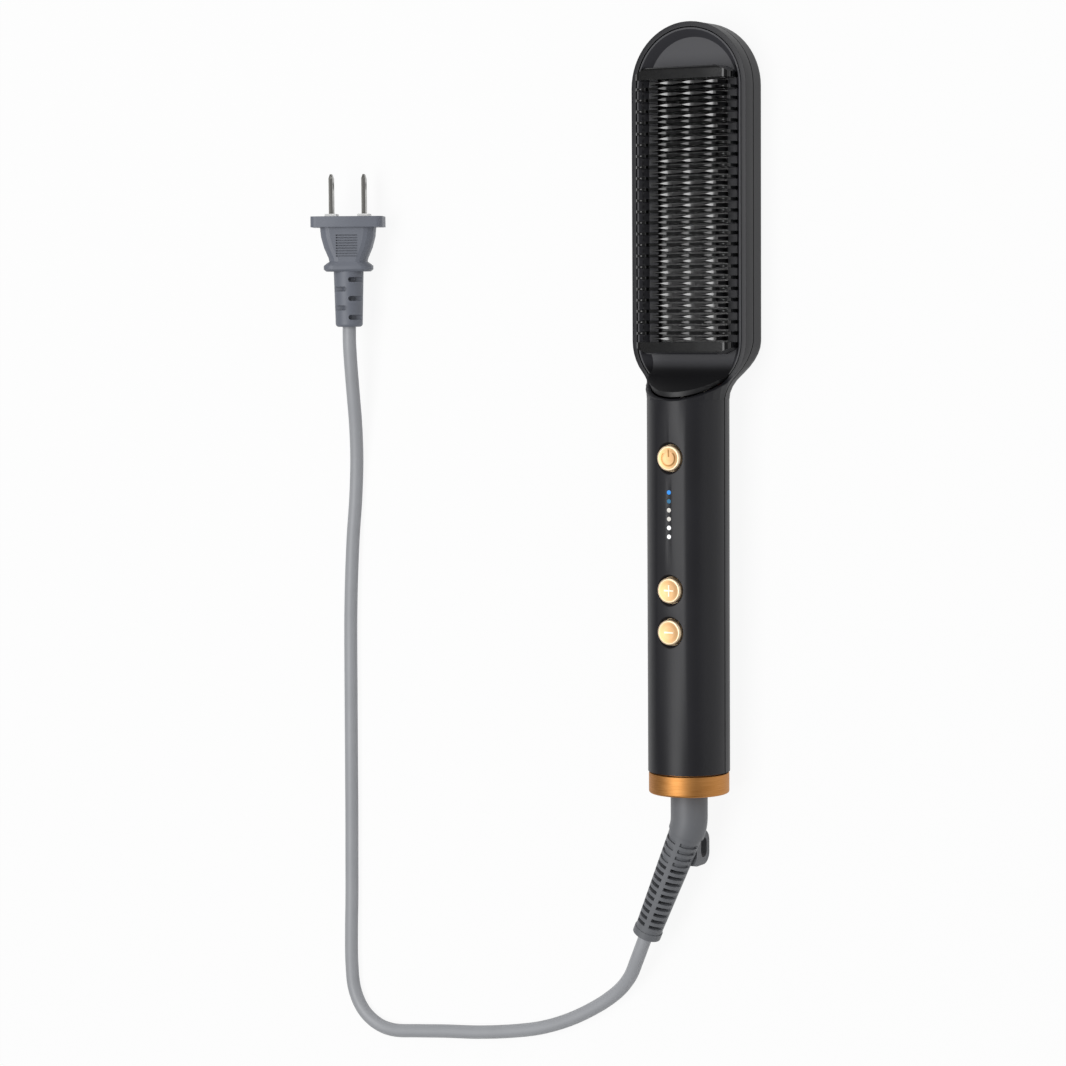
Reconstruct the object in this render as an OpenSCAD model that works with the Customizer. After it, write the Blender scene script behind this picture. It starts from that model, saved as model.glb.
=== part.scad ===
// Hair straightening brush: a heated comb in a long oval head, a round handle
// with push buttons, and a mains cord on a swivel. The brush lies on its back.
// The origin is under the middle of the brush, +Y points to the head's tip and
// +Z is the comb side. Lengths are millimetres.

/* [Handle] */
// Diameter of the handle
handle_d = 30; // [28:0.5:32]
// Length from the collar's end face to the start of the neck
handle_l = 144; // [142:1:156]
// Thickness of the moulded casing walls
wall = 1.8; // [1.5:0.1:2.2]
// Depth and height of the groove along the parting line
groove = 0.5; // [0.3:0.1:0.7]

/* [Head] */
// Width of the head
head_w = 46.6; // [46:0.2:50]
// Length from the start of the neck to the head's tip
head_l = 136; // [134:1:142]
// Height of the rim above the flat back
head_t = 14.4; // [14:0.2:16]
// Rounding of the head's back edge
edge_r = 3; // [2.6:0.2:4.5]
// Height of the parting line in the head
part_z = 8.2; // [7.8:0.1:8.5]
// Length of the neck
neck_l = 21; // [18:1:25]
// Outer radius where the head turns into the neck
neck_r = 18; // [15:0.5:20]
// Slope of the handle shell's open end, from the back plane
mouth_angle = 65.8; // [60:0.5:70]

/* [Guard] */
// Gap between the casing and the guard
guard_gap = 0.4; // [0.3:0.1:0.6]
// Height of the guard's dished floor
floor_z = 10.9; // [10.6:0.1:11.6]
// Thickness of the guard's floor
floor_t = 1.6; // [1.2:0.1:1.8]
// Width of the dish's sloping side
dish_slope = 2.6; // [2:0.2:3.2]
// Height of the guard bars' tips
guard_top = 20.3; // [19.8:0.1:21.5]
// Half the length of a guard bar
guard_half = 19.2; // [18.8:0.1:19.4]
// Thickness of a guard bar
bar_t = 1.5; // [1.2:0.1:1.7]
// Thickness of each end bar
end_bar_t = 4.4; // [3.6:0.2:5]

/* [Heated comb] */
// Number of heated ribs
ribs = 24; // [20:1:24]
// Distance from one heated rib to the next
pitch = 4; // [3.9:0.05:4.1]
// Thickness of a heated rib at its root
rib_t = 1.7; // [1.4:0.1:1.8]
// Height of the heated ribs' tips
rib_top = 19.2; // [18.6:0.1:19.6]
// Half the length of a long heated rib
rib_half = 13.9; // [13.4:0.1:14]
// How much shorter every second rib is at each end
rib_step = 0.7; // [0:0.1:1]
// Distance between the humps along a rib
hump_pitch = 9.3; // [9:0.1:9.6]
// Depth of the dip between two humps
hump_drop = 1.1; // [0.6:0.1:1.4]
// Thickness of the heated plate
plate_t = 2; // [1.8:0.1:2.2]
// Thickness of a heater tablet
ptc_t = 1.6; // [1.4:0.1:1.8]

/* [Controls] */
// Diameter of the button caps
button_d = 9.3; // [8.6:0.1:10]
// How far a button travels
travel = 0.4; // [0.25:0.05:0.5]
// How far a button stands above the handle
button_rise = 0.5; // [0.3:0.1:0.8]
// Power button, from the collar's end face
power_at = 123.2; // [122.8:0.2:124.4]
// Plus button, from the collar's end face
plus_at = 75.4; // [75.2:0.2:76.6]
// Minus button, from the collar's end face
minus_at = 60.2; // [60:0.2:61.4]
// Diameter of an indicator dot
dot_d = 1.6; // [1.4:0.1:1.8]
// Distance between the indicator dots
dot_pitch = 3.2; // [3:0.1:3.3]
// Last indicator dot, from the collar's end face
dot_at = 94.9; // [94.6:0.1:95.3]
// Height of the circuit board's upper face
board_z = 18.6; // [18.2:0.1:19]

/* [Tail] */
// Length of the gold collar
collar_l = 7.6; // [6.5:0.1:9]
// Diameter of the gold collar
collar_d = 29.5; // [28.5:0.1:29.8]
// Diameter of the boot in the collar
boot_d = 13.6; // [12.8:0.1:14.2]
// Straight length of the boot below the collar
boot_neck = 9; // [7:0.5:10]
// Angle that the boot bends
boot_bend = 25.4; // [22:0.2:27]
// Length of the slotted part of the boot
boot_l = 45; // [43:0.5:46]
// Number of slot rows in the boot
boot_rows = 14; // [10:1:15]
// Diameter of the boot's free end
boot_tip_d = 10; // [9:0.2:11]
// Diameter of the mains cord
cord_d = 5.2; // [4.6:0.1:5.6]

/* [Plug] */
// Width of the plug's flange
flange_w = 28; // [26.5:0.5:30]
// Thickness of the plug's flange
flange_t = 16; // [15:0.2:17.6]
// Distance between the blades' middles
blade_pitch = 12.7; // [12.6:0.05:12.8]
// Width of a blade
blade_w = 6.35; // [6.1:0.05:6.5]
// Thickness of a blade
blade_t = 1.5; // [1.4:0.05:1.6]
// Length of a blade outside the plug
blade_l = 16.3; // [15.9:0.1:18.3]

/* [Hidden] */

$fn = 64;
eps = 0.01;

charcoal = "#2b2b2d";
gloss_black = "#151517";
gold = "#c98f45";
boot_grey = "#5f6164";
cord_grey = "#86888b";
plug_grey = "#6b6f78";
steel = "#b9bcc0";
brass = "#c9a64f";
board_green = "#2f5f45";

// Places along the brush
body_l = handle_l + head_l;
y_end = -body_l / 2;
y_tip = body_l / 2;
y_neck = y_end + handle_l;
y_head = y_neck + neck_l;
axis_z = handle_d / 2;
handle_r = handle_d / 2;
half_head = head_w / 2;
y_arc = y_tip - half_head;

// The neck's outline: an outward arc of neck_r that meets an inward arc
neck_step = half_head - handle_r;
neck_turn = 2 * atan(neck_step / neck_l);
neck_r2 = neck_l / sin(neck_turn) - neck_r;
y_turn = y_head - neck_r * sin(neck_turn);
x_turn = half_head - neck_r * (1 - cos(neck_turn));

function half_w(y) =
  y >= y_head ? half_head :
  y <= y_neck ? handle_r :
  y > y_turn ? half_head - neck_r + sqrt(neck_r * neck_r - (y_head - y) * (y_head - y)) :
  handle_r + neck_r2 - sqrt(neck_r2 * neck_r2 - (y - y_neck) * (y - y_neck));

function blend(t) = t * t * (3 - 2 * t);
function edge_at(y) = let (t = blend(min(1, max(0, (y - y_neck) / neck_l))))
  handle_r - 0.2 + (edge_r - handle_r + 0.2) * t;

// Outline of the head and neck seen from the front, shrunk by i
module plan(i) {
  translate([0, y_arc]) circle(half_head - i);
  translate([-half_head + i, y_head]) square([head_w - 2 * i, y_arc - y_head]);
  intersection() {
    union() {
      for (s = [-1, 1]) translate([s * (half_head - neck_r), y_head]) circle(neck_r - i);
      translate([neck_r - half_head, y_turn])
        square([2 * (half_head - neck_r), y_head - y_turn]);
    }
    translate([-half_head, y_turn + i * sin(neck_turn)])
      square([head_w, y_head - y_turn - i * sin(neck_turn)]);
  }
  difference() {
    translate([-x_turn + i * cos(neck_turn), y_neck])
      square([2 * (x_turn - i * cos(neck_turn)), y_turn - y_neck + i * sin(neck_turn)]);
    for (s = [-1, 1]) translate([s * (handle_r + neck_r2), y_neck]) circle(neck_r2 + i);
  }
}

// Half of the head's cross-section, shrunk by i, with a rounded back edge
function edge_arc(w, r, i) = [for (a = [0:edge_steps]) let (t = 270 + 90 * a / edge_steps)
  [w - r + r * cos(t), i + r + r * sin(t)]];
module head_section(i, top) {
  polygon(concat([[0, top], [0, i]], edge_arc(half_head - i, edge_r - i, i), [[half_head - i, top]]));
}

// Head from the start of the straight sides to the tip, shrunk by i
module head_solid(i, top) {
  translate([0, y_arc, 0]) rotate_extrude(angle = 180) head_section(i, top);
  for (s = [0, 1]) mirror([s, 0, 0])
    translate([0, y_arc, 0]) rotate([90, 0, 0])
      linear_extrude(y_arc - y_head) head_section(i, top);
}

// Rings of points, one after another, joined to a closed solid
module loft(rings) {
  n = len(rings[0]);
  m = len(rings);
  polyhedron(
    points = [for (r = rings) each r],
    faces = concat(
      [[for (i = [0:n - 1]) i]],
      [[for (i = [n - 1:-1:0]) (m - 1) * n + i]],
      [for (k = [0:m - 2], i = [0:n - 1]) let (j = (i + 1) % n)
        each [[k * n + i, (k + 1) * n + j, k * n + j],
              [k * n + i, (k + 1) * n + i, (k + 1) * n + j]]]));
}

// One ring of the neck at y, shrunk by i: a dome above the axis and a flat
// back with rounded edges below it
dome_steps = 14;
edge_steps = 6;
function neck_ring(y, i) =
  let (w = half_w(y) - i, r = edge_at(y) - i)
  concat(
    [for (a = [0:dome_steps]) let (t = 180 * a / dome_steps)
      [w * cos(t), y, axis_z + (axis_z - i) * sin(t)]],
    [for (a = [0:edge_steps]) let (t = 180 + 90 * a / edge_steps)
      [-(w - r) + r * cos(t), y, i + r + r * sin(t)]],
    [for (p = edge_arc(w, r, i)) [p[0], y, p[1]]]);

neck_rings = 9;
lap = 0.2;
module neck_solid(i) {
  loft([for (k = [neck_rings:-1:0])
    neck_ring(y_neck - lap + (neck_l + lap) * k / neck_rings, k == 0 ? i + lap / 6 : i)]);
}

module handle_solid(i, y0) {
  translate([0, y0, axis_z]) rotate([-90, 0, 0]) cylinder(r = handle_r - i, h = y_neck - y0);
}

// The whole casing as one solid, shrunk by i
y_shell = y_end + collar_l + groove;
module casing(i, top, y0) {
  handle_solid(i, y0);
  neck_solid(i);
  head_solid(i, top);
}

// A block that spans the brush, from an outline in y and z
module across(half) {
  translate([-half, 0, 0]) rotate([90, 0, 90]) linear_extrude(2 * half) children();
}

// Everything below the parting line raised by d
module below_parting(d) {
  across(half_head + 1) polygon([
    [y_end - 1, -1], [y_end - 1, axis_z + d], [y_neck, axis_z + d],
    [y_head, part_z + d], [y_tip + 1, part_z + d], [y_tip + 1, -1]]);
}

// What lies above the level z and past a slope that meets it at foot, with the
// corner between them rounded by r
module above_slope(foot, z, r) {
  a = mouth_angle;
  top = ridge_z + 6;
  c = [foot + r * tan(a / 2), z + r];
  across(half_head + 1) difference() {
    polygon([[foot, z], [y_tip + 1, z], [y_tip + 1, top], [foot - (top - z) / tan(a), top]]);
    difference() {
      polygon([[foot - tan(a / 2), z - 1], [c[0], z - 1], c, c - (r + 1) * [sin(a), cos(a)]]);
      translate(c) circle(r);
    }
  }
}

// The open end of the handle shell slopes from the ridge to the rim
ridge_z = handle_d;
mouth_y = y_neck - 0.3;
mouth_foot = mouth_y + (ridge_z - head_t) / tan(mouth_angle);
mouth_r = 4;
module above_mouth() {
  above_slope(mouth_foot, head_t, mouth_r);
}

// Screw places
screw_r = 1.25;
boss_r = 2.5;
post_r = 3.6;
head_r = 2.2;
head_h = 1.2;
fit = 0.05;
seat_z = floor_z - floor_t;
ledge_w = 1.5;
tip_screw_in = 6.8;
neck_screw_in = 7;
low_screw_at = 28;
mid_screw_at = 86;
tip_screw_y = y_tip - tip_screw_in;
neck_screw_y = y_neck + neck_screw_in;
low_screw_y = y_end + low_screw_at;
mid_screw_y = y_end + mid_screw_at;
head_post_top = 5;
handle_post_top = 13;
head_seat = 3.4;
handle_seat = 10;
screw_reach = 6;
head_screws = [tip_screw_y, neck_screw_y];
handle_screws = [low_screw_y, mid_screw_y];

module post(y, top) {
  translate([0, y, wall / 2]) cylinder(r = post_r, h = top - wall / 2);
}
module screw_way(y, seat, top) {
  translate([0, y, -1]) cylinder(r = head_r + 0.2, h = seat + 1);
  translate([0, y, 0]) cylinder(r = screw_r + 0.2, h = top + 1);
}

// A screw that stands on its head at z, with a cross in the head
cross_w = 0.6;
cross_l = 2.6;
cross_h = 0.7;
module screw(x, y, z, tip) {
  translate([x, y, z]) difference() {
    cylinder(r = head_r, h = head_h);
    for (s = [[cross_w, cross_l], [cross_l, cross_w]])
      translate([-s[0] / 2, -s[1] / 2, -1]) cube([s[0], s[1], 1 + cross_h]);
  }
  translate([x, y, z + head_h / 2]) cylinder(r = screw_r, h = tip - z - head_h / 2);
}

// Heights of the heater pack, from the comb's plate down
plate_gap = 0.2;
film_t = 0.15;
electrode_t = 0.3;
clamp_t = 1;
shield_t = 0.4;
plate_top = seat_z - plate_gap;
plate_z = plate_top - plate_t;
top_film_z = plate_z - film_t;
top_electrode_z = top_film_z - electrode_t;
ptc_z = top_electrode_z - ptc_t;
low_electrode_z = ptc_z - electrode_t;
low_film_z = low_electrode_z - film_t;
clamp_z = low_film_z - clamp_t;
shield_z = clamp_z - 0.3 - shield_t;

// Places along the comb, worked down from the head's tip. A head that is too
// short for all its ribs has fewer.
comb_tip = 16.4;
comb_foot = 16;
comb_y1 = y_tip - comb_tip;
bar_gap = (pitch - bar_t) / 2;
rib_room = head_l - comb_tip - comb_foot - 2 * end_bar_t - 2 * bar_gap;
rib_n = min(ribs, floor(rib_room / pitch) + 1);
function rib_y(k) = comb_y1 - end_bar_t - bar_gap - k * pitch;
comb_y0 = rib_y(rib_n - 1) - bar_gap - end_bar_t;
comb_mid = (comb_y0 + comb_y1) / 2;
pack_over = 5.3;
pack_y0 = comb_y0 - pack_over;
pack_y1 = comb_y1 + pack_over;
comb_screw_x = 12.3;
comb_screw_out = 2.4;
comb_screw_ys = [comb_y0 - comb_screw_out, comb_y1 + comb_screw_out];

// Back casing of the head, neck and handle, with screw posts and shield ribs
shield_half = 13;
shield_rib_t = 1.2;
shield_rib_in = 6;
shield_rib_pitch = 30;
shield_ribs = [comb_y0 + shield_rib_in, comb_y0 + shield_rib_in + shield_rib_pitch,
  comb_y1 - shield_rib_in - shield_rib_pitch, comb_y1 - shield_rib_in];
module rear_shell() color(charcoal) {
  difference() {
    union() {
      intersection() {
        difference() {
          casing(0, head_t, y_shell);
          casing(wall, head_t, y_shell - 1);
        }
        below_parting(0);
      }
      for (y = head_screws) post(y, head_post_top);
      for (y = handle_screws) post(y, handle_post_top);
      for (y = shield_ribs) translate([-shield_half, y, wall / 2])
        cube([2 * shield_half, shield_rib_t, shield_z - wall / 2]);
    }
    for (y = head_screws) screw_way(y, head_seat, head_post_top);
    for (y = handle_screws) screw_way(y, handle_seat, handle_post_top);
  }
}

// Places of the controls on the handle's ridge
power_y = y_end + power_at;
plus_y = y_end + plus_at;
minus_y = y_end + minus_at;
buttons = [power_y, plus_y, minus_y];
dots = [for (k = [0:5]) y_end + dot_at + k * dot_pitch];
hole_r = button_d / 2 + 0.35;
dish_r = hole_r + 0.9;
flange_r = hole_r + 0.6;

// Board and its screws
board_t = 1.6;
board_half = 9.5;
board_under = board_z - board_t;
board_from = 44;
board_to = 132;
board_screw_at = 50.5;
board_y0 = y_end + board_from;
board_y1 = y_end + board_to;
board_screw_ys = [y_end + board_screw_at, power_y - flange_r - boss_r - 0.4];

// Front casing: the handle's front half and the rim round the head
module shell_post(y, z, r) {
  translate([0, y, z]) cylinder(r = r, h = ridge_z - wall - z + 0.4);
}
module front_shell() color(charcoal) {
  difference() {
    union() {
      difference() {
        casing(0, head_t, y_shell);
        casing(wall, head_t + 1, y_shell - 1);
        below_parting(0);
        above_mouth();
        difference() {
          below_parting(groove);
          casing(groove, head_t, y_shell - 1);
        }
      }
      intersection() {
        translate([0, 0, part_z]) linear_extrude(seat_z - part_z) difference() {
          plan(wall - 0.2);
          plan(wall + ledge_w);
        }
        translate([-half_head, y_head, 0]) cube([head_w, head_l, head_t]);
      }
      for (y = handle_screws) shell_post(y, handle_post_top, post_r);
      for (y = board_screw_ys) shell_post(y, board_z, boss_r);
    }
    for (y = buttons) {
      translate([0, y, axis_z]) cylinder(r = hole_r, h = axis_z + 1);
      translate([0, y, ridge_z - 1.3]) cylinder(r1 = hole_r, r2 = dish_r, h = 1.4);
    }
    for (y = dots) translate([0, y, axis_z]) cylinder(d = dot_d + 2 * fit, h = axis_z + 1);
    for (y = handle_screws) translate([0, y, handle_post_top - 1])
      cylinder(r = screw_r + fit, h = 1 + screw_reach + fit);
    for (y = board_screw_ys) translate([0, y, board_z - 1])
      cylinder(r = screw_r + fit, h = 1 + screw_reach + fit);
  }
}

// The guard's dish: a level floor, a ramp up to the handle, sloping sides
ramp_r = 8;
guard_inset = wall + guard_gap;
ramp_y = mouth_y + guard_inset / tan(mouth_angle) + (guard_gap + floor_t) / sin(mouth_angle);
ramp_foot = ramp_y + (ridge_z - guard_inset - floor_z) / tan(mouth_angle);
rim_z = head_t - 0.2;
dish_inset = guard_inset + 0.6;
dish_below = 1;
dish_run = dish_slope * (rim_z - floor_z + dish_below) / (rim_z - floor_z);
module above_floor(d) {
  above_slope(ramp_foot - d * tan(mouth_angle / 2), floor_z - d, ramp_r + d);
}
module dish_half() {
  w = half_head - dish_inset;
  polygon([[0, floor_z - dish_below], [w - dish_run, floor_z - dish_below], [w, rim_z],
           [w, ridge_z], [0, ridge_z]]);
}
function dish_ring(y) = let (w = half_w(y) - dish_inset, z = floor_z - dish_below)
  [[w - dish_run, y, z], [w, y, rim_z], [w, y, ridge_z],
   [-w, y, ridge_z], [-w, y, rim_z], [dish_run - w, y, z]];
module dish() {
  translate([0, y_arc, 0]) rotate_extrude(angle = 180) dish_half();
  for (s = [0, 1]) mirror([s, 0, 0]) translate([0, y_arc, 0]) rotate([90, 0, 0])
    linear_extrude(y_arc - y_head) dish_half();
  loft([for (k = [neck_rings:-1:0]) dish_ring(y_neck + (neck_l + lap) * k / neck_rings)]);
}

// Outline of a comb bar in x and z, with three rounded humps
hump_r = (hump_pitch * hump_pitch / 4 + hump_drop * hump_drop) / (2 * hump_drop);
end_r = 2;
module humps(half, top, z0) {
  intersection() {
    union() {
      for (x = [-hump_pitch, 0, hump_pitch]) intersection() {
        translate([x, top - hump_r]) circle(hump_r);
        translate([x - hump_pitch / 2, z0]) square([hump_pitch, top]);
      }
      translate([-half, z0]) square([2 * half, top - hump_drop - z0 - 2]);
    }
    union() {
      translate([-half, z0]) square([2 * half, top - z0 - end_r]);
      translate([end_r - half, z0]) square([2 * (half - end_r), top - z0 + 1]);
      for (s = [-1, 1]) translate([s * (half - end_r), top - end_r]) circle(end_r);
    }
  }
}
tooth_r = 2.4;
valley = 2.6;
module guard_outline(z0) {
  humps(hump_pitch * 1.5, guard_top, z0);
  translate([-guard_half, z0]) square([2 * guard_half, guard_top - z0 - valley]);
  for (s = [-1, 1]) translate([s * (guard_half - tooth_r), guard_top - tooth_r])
    circle(tooth_r);
}
// The bar's thickness: tapered, with a rounded tip, as an outline in y and z
module bar_edge(t, tip, top, z0) {
  polygon([[-t / 2, z0], [t / 2, z0], [tip / 2, top - tip / 2], [-tip / 2, top - tip / 2]]);
  translate([0, top - tip / 2]) circle(tip / 2);
}
module comb_bar(y, t, tip, top, z0, half) {
  intersection() {
    translate([0, y + t, 0]) rotate([90, 0, 0]) linear_extrude(2 * t) children();
    translate([0, y, 0]) across(half + 1) bar_edge(t, tip, top, z0);
  }
}

// End bar with cut corners, rounded ends and a rounded outer edge
end_corner = 5.4;
end_side = 0.45;
end_edge_r = 1.2;
module end_outline() {
  translate([-guard_half, seat_z]) square([2 * guard_half, guard_top - seat_z - tooth_r]);
  translate([tooth_r - guard_half, seat_z])
    square([2 * (guard_half - tooth_r), guard_top - seat_z]);
  for (s = [-1, 1]) translate([s * (guard_half - tooth_r), guard_top - tooth_r])
    circle(tooth_r);
}
module end_bar() {
  intersection() {
    translate([0, 0, seat_z]) linear_extrude(guard_top - seat_z + 1) polygon([
      [-guard_half, 0], [guard_half, 0], [guard_half, end_bar_t * end_side],
      [guard_half - end_corner, end_bar_t], [end_corner - guard_half, end_bar_t],
      [-guard_half, end_bar_t * end_side]]);
    translate([0, end_bar_t, 0]) rotate([90, 0, 0]) linear_extrude(end_bar_t) end_outline();
    across(guard_half + 1) {
      translate([0, seat_z]) square([end_bar_t, guard_top - seat_z - end_edge_r]);
      translate([0, seat_z]) square([end_bar_t - end_edge_r, guard_top - seat_z]);
      translate([end_bar_t - end_edge_r, guard_top - end_edge_r]) circle(end_edge_r);
    }
  }
}

// Cool-touch guard: dish, cross bars and end bars in one moulding
slot_half = rib_half + 0.4;
guard_tip = 1;
module comb_guard() color(gloss_black) {
  difference() {
    union() {
      difference() {
        union() {
          intersection() {
            union() {
              neck_solid(guard_inset);
              head_solid(guard_inset, rim_z);
            }
            above_floor(floor_t);
          }
        }
        intersection() {
          above_floor(0);
          union() {
            dish();
            translate([-half_head, y_neck - 5, rim_z]) cube([head_w, head_l + 10, ridge_z]);
          }
        }
        translate([-slot_half, comb_y0 + end_bar_t, 0])
          cube([2 * slot_half, comb_y1 - comb_y0 - 2 * end_bar_t, ridge_z]);
      }
      for (k = [0:rib_n - 2])
        comb_bar(rib_y(k) - pitch / 2, bar_t, guard_tip, guard_top, seat_z, guard_half)
          guard_outline(seat_z);
      translate([0, comb_y1 - end_bar_t, 0]) end_bar();
      translate([0, comb_y0 + end_bar_t, 0]) mirror([0, 1, 0]) end_bar();
      translate([-boss_r, neck_screw_y - boss_r, head_post_top])
        cube([2 * boss_r, 2 * boss_r, floor_z + 2.5 - head_post_top]);
      translate([0, tip_screw_y, head_post_top])
        cylinder(r = boss_r, h = seat_z + 1 - head_post_top);
      for (x = [-1, 1], y = comb_screw_ys)
        translate([x * comb_screw_x, y, clamp_z + clamp_t])
          cylinder(r = boss_r, h = seat_z + 1 - clamp_z - clamp_t);
    }
    for (y = head_screws) translate([0, y, 0]) cylinder(r = screw_r + fit, h = seat_z + fit);
    for (x = [-1, 1], y = comb_screw_ys) translate([x * comb_screw_x, y, 0])
      cylinder(r = screw_r + fit, h = seat_z + fit);
  }
}

// A flat sheet of the heater pack, and the holes for the guard's bosses
module pack_sheet(z, t, half, y0, y1) {
  translate([-half, y0, z]) cube([2 * half, y1 - y0, t]);
}
module boss_holes(r) {
  for (x = [-1, 1], y = comb_screw_ys) translate([x * comb_screw_x, y, -1])
    cylinder(r = r, h = seat_z + 1);
}

// Cast plate with the heated ribs
rib_tip = 1;
plate_half = 15.2;
module heated_comb() color(gloss_black) {
  difference() {
    union() {
      pack_sheet(plate_z, plate_t, plate_half, pack_y0, pack_y1);
      for (k = [0:rib_n - 1]) let (half = rib_half - (k % 2) * rib_step)
        comb_bar(rib_y(k), rib_t, rib_tip, rib_top, plate_top - eps, half)
          humps(half, rib_top, plate_top - eps);
    }
    boss_holes(boss_r + 0.3);
  }
}

// Films, electrodes and tablets of the heater pack
electrode_half = 6;
electrode_in = 7;
tab_x = 5;
tab_w = 3;
tab_y = pack_y0 - 1.5;
ptc_in = 2.15;
ptc_gap = 2;
ptc_l = (comb_y1 - comb_y0 - 2 * electrode_in - 2 * ptc_in - 2 * ptc_gap) / 3;
ptc_half = 5.8;
ptc_ys = [for (k = [-1:1]) comb_mid + k * (ptc_l + ptc_gap)];
module insulating_films() color("#b5762a") {
  for (z = [top_film_z, low_film_z])
    pack_sheet(z, film_t, electrode_half + 1, comb_y0 + 1, comb_y1 - 1);
}
module electrode(z, x) {
  pack_sheet(z, electrode_t, electrode_half, comb_y0 + electrode_in, comb_y1 - electrode_in);
  translate([x - tab_w / 2, tab_y, z])
    cube([tab_w, comb_y0 + electrode_in + 1 - tab_y, electrode_t]);
}
module heater_electrodes() color(brass) {
  electrode(top_electrode_z, tab_x);
  electrode(low_electrode_z, -tab_x);
}
module ptc_tablets() color("#8d8f93") {
  for (y = ptc_ys) pack_sheet(ptc_z, ptc_t, ptc_half, y - ptc_l / 2, y + ptc_l / 2);
}

// Pressed plate that holds the pack against the comb
clamp_half = 15;
module heater_clamp() color(steel) {
  difference() {
    pack_sheet(clamp_z, clamp_t, clamp_half, pack_y0, pack_y1);
    boss_holes(screw_r + 0.15);
  }
}
// Mica sheet between the pack and the back casing
module heat_shield() color("#a8997c") {
  difference() {
    pack_sheet(shield_z, shield_t, shield_half, pack_y0 + 1, pack_y1 - 1);
    boss_holes(head_r + 0.6);
  }
}

module comb_screws() color(steel) {
  for (x = [-1, 1], y = comb_screw_ys)
    screw(x * comb_screw_x, y, clamp_z - head_h, seat_z - 0.3);
}
module shell_screws() color(steel) {
  for (y = head_screws) screw(0, y, head_seat - head_h, seat_z - 0.3);
  for (y = handle_screws) screw(0, y, handle_seat - head_h, handle_post_top + screw_reach);
}
module board_screws() color(steel) {
  for (y = board_screw_ys) screw(0, y, board_under - head_h, board_z + screw_reach);
}

// Wires: straight rods between points, with round joints
module rod(a, b, r) {
  v = b - a;
  translate(a) rotate([0, acos(v[2] / norm(v)), atan2(v[1], v[0])]) cylinder(r = r, h = norm(v));
}
module wire(points, r) {
  for (k = [0:len(points) - 2]) rod(points[k], points[k + 1], r);
  if (len(points) > 2) for (k = [1:len(points) - 2]) translate(points[k]) sphere(1.2 * r);
}

// Sensor bead under the plate, and its lead to the board
bead_r = 1.1;
sensor_x = 8.3;
lead_z = board_under + board_t / 2;
low_turn = y_neck + 5;
high_turn = board_y1 + min(5, (low_turn - board_y1) / 2);
bead = [sensor_x, comb_mid, plate_z - bead_r];
sensor_r = 0.7;
sensor_pad_x = 8.6;
module temperature_sensor() color("#c9cdd2") {
  translate(bead) sphere(bead_r);
}
module sensor_lead() color("#b23a2e") {
  wire([bead - [0, bead_r + fit, 0], [sensor_x, low_turn, bead[2]],
        [sensor_pad_x, high_turn, lead_z], [sensor_pad_x, board_y1, lead_z]], sensor_r);
}

// Heater leads from the electrode tabs to the board, the right one by way of
// the thermal fuse
lead_r = 0.8;
fuse_r = 1.6;
fuse_l = 8;
function tab_end(x, z) = [x, tab_y, z + electrode_t / 2];
fuse_foot = [tab_x, low_turn, top_electrode_z + electrode_t / 2];
fuse_head = [tab_x, high_turn, lead_z];
fuse_way = (fuse_head - fuse_foot) / norm(fuse_head - fuse_foot);
fuse_mid = (fuse_foot + fuse_head) / 2;
fuse_a = fuse_mid - fuse_way * fuse_l / 2;
fuse_b = fuse_mid + fuse_way * fuse_l / 2;
module thermal_fuse() color("#d8d4c6") {
  rod(fuse_a, fuse_b, fuse_r);
}
module heater_leads() color("#d9d9d4") {
  wire([tab_end(-tab_x, low_electrode_z), [-tab_x, low_turn, low_electrode_z + electrode_t / 2],
        [-tab_x, high_turn, lead_z], [-tab_x, board_y1, lead_z]], lead_r);
  wire([tab_end(tab_x, top_electrode_z), fuse_foot, fuse_a], lead_r);
  wire([fuse_b, fuse_head, [tab_x, board_y1, lead_z]], lead_r);
}

module circuit_board() color(board_green) {
  difference() {
    translate([-board_half, board_y0, board_under]) cube([2 * board_half, board_y1 - board_y0, board_t]);
    for (y = board_screw_ys) translate([0, y, 0]) cylinder(r = screw_r + 0.15, h = ridge_z);
    translate([0, mid_screw_y, 0]) cylinder(r = post_r + 0.4, h = ridge_z);
  }
}

// Push switches on the board, under the buttons
switch_w = 6;
switch_h = 3.5;
plunger_r = 1.55;
plunger_foot = 1.4;
plunger_top = board_z + switch_h + 0.8;
module tact_switches() color("#33353a") {
  for (y = buttons) difference() {
    translate([-switch_w / 2, y - switch_w / 2, board_z]) cube([switch_w, switch_w, switch_h]);
    translate([0, y, board_z + plunger_foot - travel - 0.2])
      cylinder(r = plunger_r + 0.15, h = switch_h + 1);
  }
}
module plunger(y) {
  translate([0, y, board_z + plunger_foot])
    cylinder(r = plunger_r, h = plunger_top - board_z - plunger_foot);
}
module power_plunger() color("#1d1d20") {
  plunger(power_y);
}
module plus_plunger() color("#1d1d20") {
  plunger(plus_y);
}
module minus_plunger() color("#1d1d20") {
  plunger(minus_y);
}

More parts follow.
